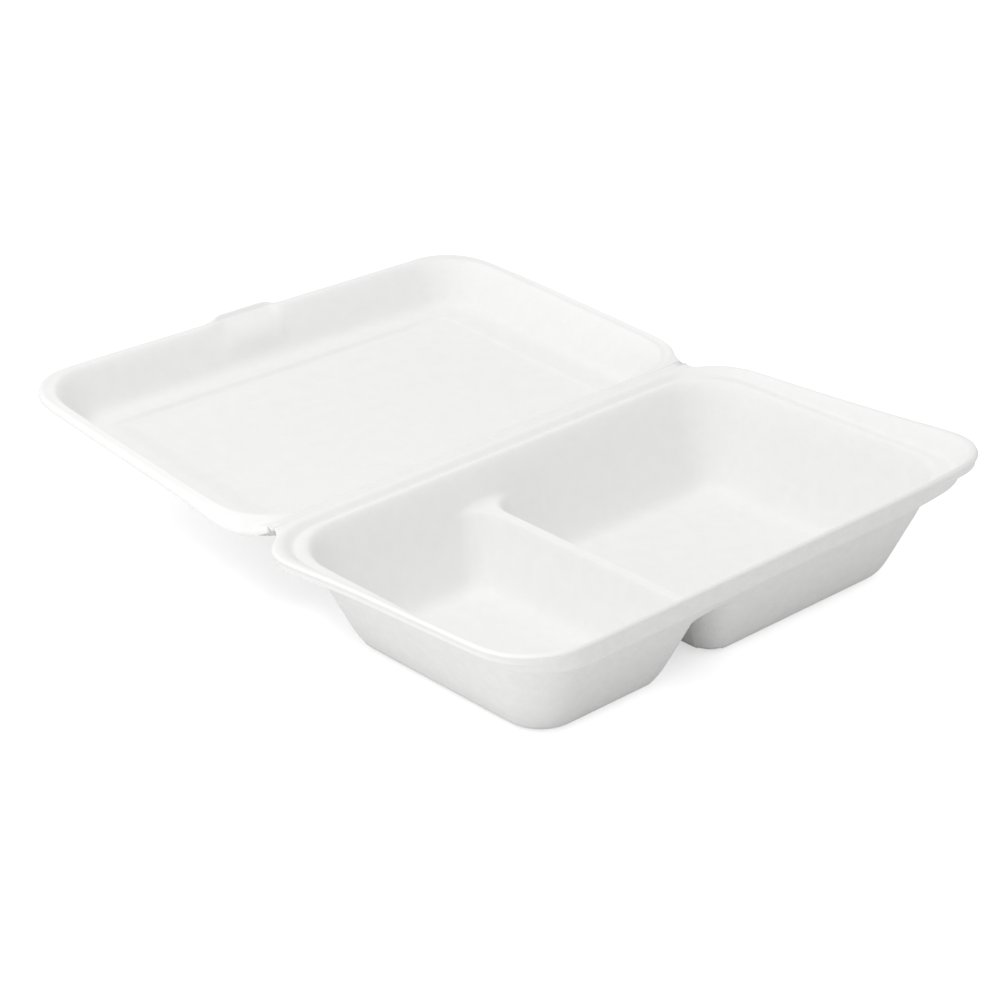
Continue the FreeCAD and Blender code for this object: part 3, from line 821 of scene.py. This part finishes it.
# Fold: a strip creased along its middle, which bends when the lid is shut
def buildFold():
    half, end = fold["halfWeb"], fold["endX"]

    # place across the strip and share of the groove's depth
    rows = [(-half, 0.0), (-1.1, 0.1), (-0.6, 0.5), (0.0, 1.0), (0.6, 0.5), (1.1, 0.1), (half, 0.0)]
    columns = 44
    bm = bmesh.new()
    grid = []
    for i in range(columns + 1):
        x = -end + 2 * end * i / columns
        line = []
        for y, deep in rows:
            if y <= 0:
                p = Vector((x, fold["y"] + y, rimHeight(fold["y"] + y)))
            else:
                p = layOpen(Vector((x, y, -fold["rise"])) / mm) * mm
            p.z -= deep * fold["groove"]
            line.append(bm.verts.new(p / mm))
        grid.append(line)
    for i in range(columns):
        for j in range(len(rows) - 1):
            bm.faces.new((grid[i][j], grid[i + 1][j], grid[i + 1][j + 1], grid[i][j + 1]))
    mesh = bpy.data.meshes.new("foldCage")
    bm.to_mesh(mesh)
    bm.free()
    mesh.materials.append(smoothPulp)
    strip = addObject("foldCage", mesh)
    addThickness(strip)
    piece = worked(strip, "foldStrip")
    for polygon in piece.data.polygons:
        polygon.use_smooth = True
    return piece


traySheet = buildTray()
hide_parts("tray")
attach(traySheet, "tray")
print("tray made")

lidSheet = buildLid()
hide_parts("lid")
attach(lidSheet, "lid")
print("lid made")

foldStrip = buildFold()
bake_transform(foldStrip, "tray", "lid",
         start=(0, (fold["y"] - fold["halfWeb"]) / 1000, fold["z"] / 1000),
         end=(0, (fold["y"] + fold["halfWeb"]) / 1000, fold["z"] / 1000))
print("fold made")


# Studio: white floor that keeps the shadow, a soft key lamp from above on the left, a small low fill

studio = {
    "worldLight": 0.725,
    "keyPower": 9.4, "keySize": 0.9, "keyPlace": (-0.75, 0.2, 1.55),       # watts and metres
    "fillPower": 0.75, "fillSize": 0.1, "fillPlace": (-0.8, -0.1, 0.06),
    "lampTarget": (0, 0.07, 0.03),
    "floorColour": 0.86, "floorGlow": 0.55, "floorHalf": 6.0,
}


def addLamp(name, power, size, place):
    data = bpy.data.lights.new(name, "AREA")
    data.energy = power
    data.shape = "DISK"
    data.size = size
    lamp = addObject(name, data)
    lamp.location = place
    ahead = Vector(studio["lampTarget"]) - Vector(place)
    lamp.rotation_euler = ahead.to_track_quat("-Z", "Y").to_euler()


addLamp("keyLamp", studio["keyPower"], studio["keySize"], studio["keyPlace"])
addLamp("fillLamp", studio["fillPower"], studio["fillSize"], studio["fillPlace"])

# World: plain white to the camera and in reflections, its own strength as a light
world = bpy.data.worlds.new("studioWorld")
bpy.context.scene.world = world
world.use_nodes = True
sky = world.node_tree
background = sky.nodes["Background"]
background.inputs["Color"].default_value = (1, 1, 1, 1)
background.inputs["Strength"].default_value = studio["worldLight"]
backdrop = sky.nodes.new("ShaderNodeBackground")
backdrop.inputs["Color"].default_value = (1, 1, 1, 1)
rays = sky.nodes.new("ShaderNodeLightPath")
seenBy = addMath(sky, "MAXIMUM")
choose = sky.nodes.new("ShaderNodeMixShader")
link(sky, rays.outputs["Is Camera Ray"], seenBy.inputs[0])
link(sky, rays.outputs["Is Glossy Ray"], seenBy.inputs[1])
link(sky, seenBy.outputs[0], choose.inputs[0])
link(sky, background.outputs[0], choose.inputs[1])
link(sky, backdrop.outputs[0], choose.inputs[2])
link(sky, choose.outputs[0], sky.nodes["World Output"].inputs["Surface"])

# Floor: its glow is for the camera only, so that it looks white and lights nothing
floorMesh = bpy.data.meshes.new("studioFloor")
reach = studio["floorHalf"]
floorMesh.from_pydata([(-reach, -reach, 0), (reach, -reach, 0), (reach, reach, 0), (-reach, reach, 0)],
                      [], [(0, 1, 2, 3)])
studioFloor = addObject("studioFloor", floorMesh)
floorPaint = bpy.data.materials.new("floorPaint")
floorPaint.use_nodes = True
paintTree = floorPaint.node_tree
base = paintTree.nodes["Principled BSDF"]
shade = studio["floorColour"]
base.inputs["Base Color"].default_value = (shade, shade, shade, 1)
base.inputs["Roughness"].default_value = 0.9
base.inputs["Specular IOR Level"].default_value = 0.0
glow = paintTree.nodes.new("ShaderNodeEmission")
glow.inputs["Strength"].default_value = studio["floorGlow"]
dark = paintTree.nodes.new("ShaderNodeEmission")
dark.inputs["Strength"].default_value = 0.0
floorRays = paintTree.nodes.new("ShaderNodeLightPath")
pick = paintTree.nodes.new("ShaderNodeMixShader")
addUp = paintTree.nodes.new("ShaderNodeAddShader")
link(paintTree, floorRays.outputs["Is Camera Ray"], pick.inputs[0])
link(paintTree, dark.outputs[0], pick.inputs[1])
link(paintTree, glow.outputs[0], pick.inputs[2])
link(paintTree, base.outputs[0], addUp.inputs[0])
link(paintTree, pick.outputs[0], addUp.inputs[1])
link(paintTree, addUp.outputs[0], paintTree.nodes["Material Output"].inputs["Surface"])
floorMesh.materials.append(floorPaint)

# Camera at the photograph's angle: degrees, millimetres, and the lens for a picture 36 mm wide

view = {"azimuth": -42.67, "elevation": 26.27, "roll": -0.42, "distance": 1178.6,
        "target": (-14.62, 55.21, 30.0), "lens": 110.3}
cameraData = bpy.data.cameras.new("photoCamera")
cameraData.lens = view["lens"]
cameraData.sensor_width = 36
cameraData.clip_start = 0.05
cameraData.clip_end = 50
camera = addObject("photoCamera", cameraData)
az, el, roll = [math.radians(view[k]) for k in ("azimuth", "elevation", "roll")]
back = Vector((math.sin(az) * math.cos(el), -math.cos(az) * math.cos(el), math.sin(el)))
right = Vector((0, 0, 1)).cross(back).normalized()
up = back.cross(right)
right, up = right * math.cos(roll) + up * math.sin(roll), up * math.cos(roll) - right * math.sin(roll)
eye = Vector(view["target"]) / mm + back * view["distance"] / mm
camera.matrix_world = Matrix((
    (right.x, up.x, back.x, eye.x),
    (right.y, up.y, back.y, eye.y),
    (right.z, up.z, back.z, eye.z),
    (0, 0, 0, 1),
))
bpy.context.scene.camera = camera
bpy.context.scene.view_settings.view_transform = "Standard"
print("studio and camera set")

bpy.context.view_layer.update()
